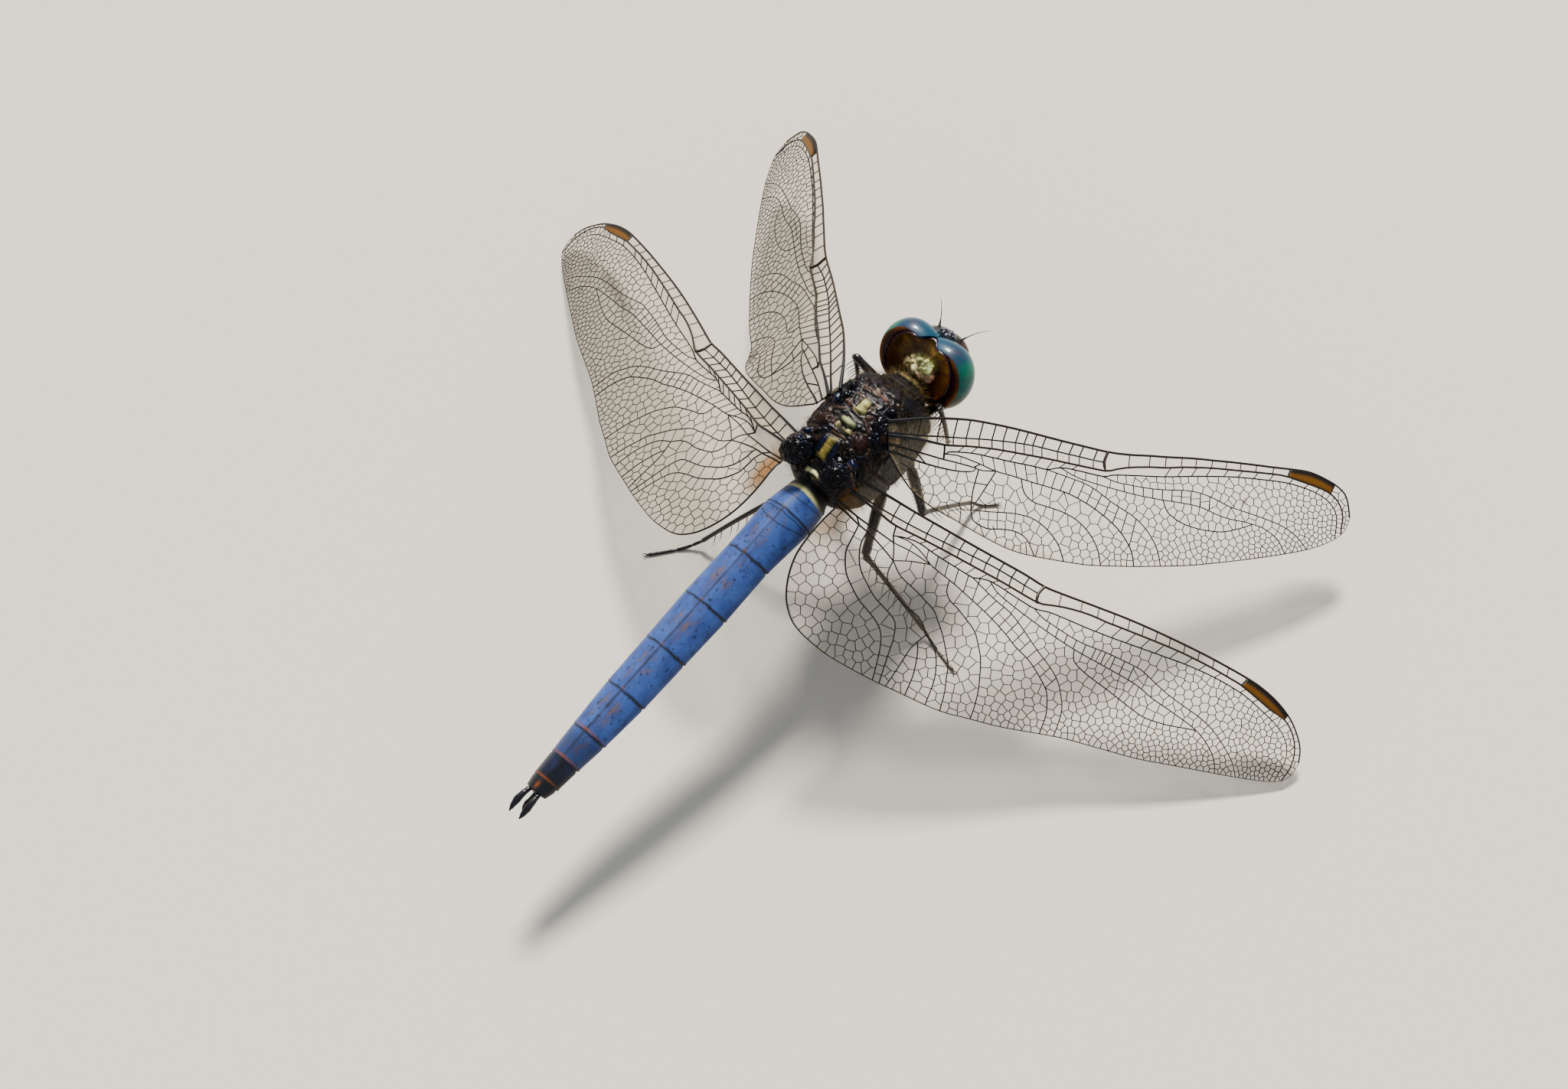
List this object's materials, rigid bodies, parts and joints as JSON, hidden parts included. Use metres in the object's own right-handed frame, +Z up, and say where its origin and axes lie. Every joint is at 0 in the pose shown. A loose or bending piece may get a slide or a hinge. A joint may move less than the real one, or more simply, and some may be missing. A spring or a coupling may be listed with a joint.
{
  "type": "dragonfly",
  "caption": "Life-size skimmer dragonfly at rest, wings held out, forward and down, with a blue-bloomed abdomen, standing on its middle and hind legs.",
  "frame": {"origin": "centre of the model's footprint box, at floor level", "axes": "+Z up from the floor; -Y towards the head; +X towards the dragonfly's own left; the wings' span is the longest extent, along X"},
  "size_m": [0.065, 0.0524, 0.0154],
  "materials": {
    "eye": "gloss, dark teal with an emerald side",
    "head_rear": "satin, brown, with short pale hairs",
    "face": "gloss, dark brown to black",
    "thorax": "satin, blackish brown with pale marks and short hairs",
    "abdomen": "powdery blue bloom with black joint rings",
    "tail": "satin, blue-black",
    "leg": "gloss, black",
    "wing": "clear membrane between brown veins",
    "vein": "satin, dark brown",
    "stigma": "satin, amber",
    "hair": "fine pale bristles"
  },
  "bodies": {
    "root": {"eye_left": "eye", "eye_right": "eye", "head": "head_rear", "vertex": "face", "face": "face", "mouth": "face", "antenna_left": "leg", "antenna_right": "leg", "prothorax": "thorax", "thorax": "thorax", "abdomen_s1": "abdomen", "abdomen_s2": "abdomen", "abdomen_s3": "abdomen", "abdomen_s4": "abdomen", "abdomen_s5": "abdomen", "abdomen_s6": "abdomen", "abdomen_s7": "abdomen", "abdomen_s8": "abdomen", "abdomen_s9": "tail", "abdomen_s10": "tail", "cercus_left": "tail", "cercus_right": "tail", "epiproct": "tail", "wing_fore_left": "wing", "wing_fore_right": "wing", "wing_hind_left": "wing", "wing_hind_right": "wing", "leg_fore_left_femur": "leg", "leg_fore_left_tibia": "leg", "leg_fore_left_tarsus": "leg", "leg_fore_right_femur": "leg", "leg_fore_right_tibia": "leg", "leg_fore_right_tarsus": "leg", "leg_mid_left_femur": "leg", "leg_mid_left_tibia": "leg", "leg_mid_left_tarsus": "leg", "leg_mid_right_femur": "leg", "leg_mid_right_tibia": "leg", "leg_mid_right_tarsus": "leg", "leg_hind_left_femur": "leg", "leg_hind_left_tibia": "leg", "leg_hind_left_tarsus": "leg", "leg_hind_right_femur": "leg", "leg_hind_right_tibia": "leg", "leg_hind_right_tarsus": "leg"}
  },
  "joints": []
}
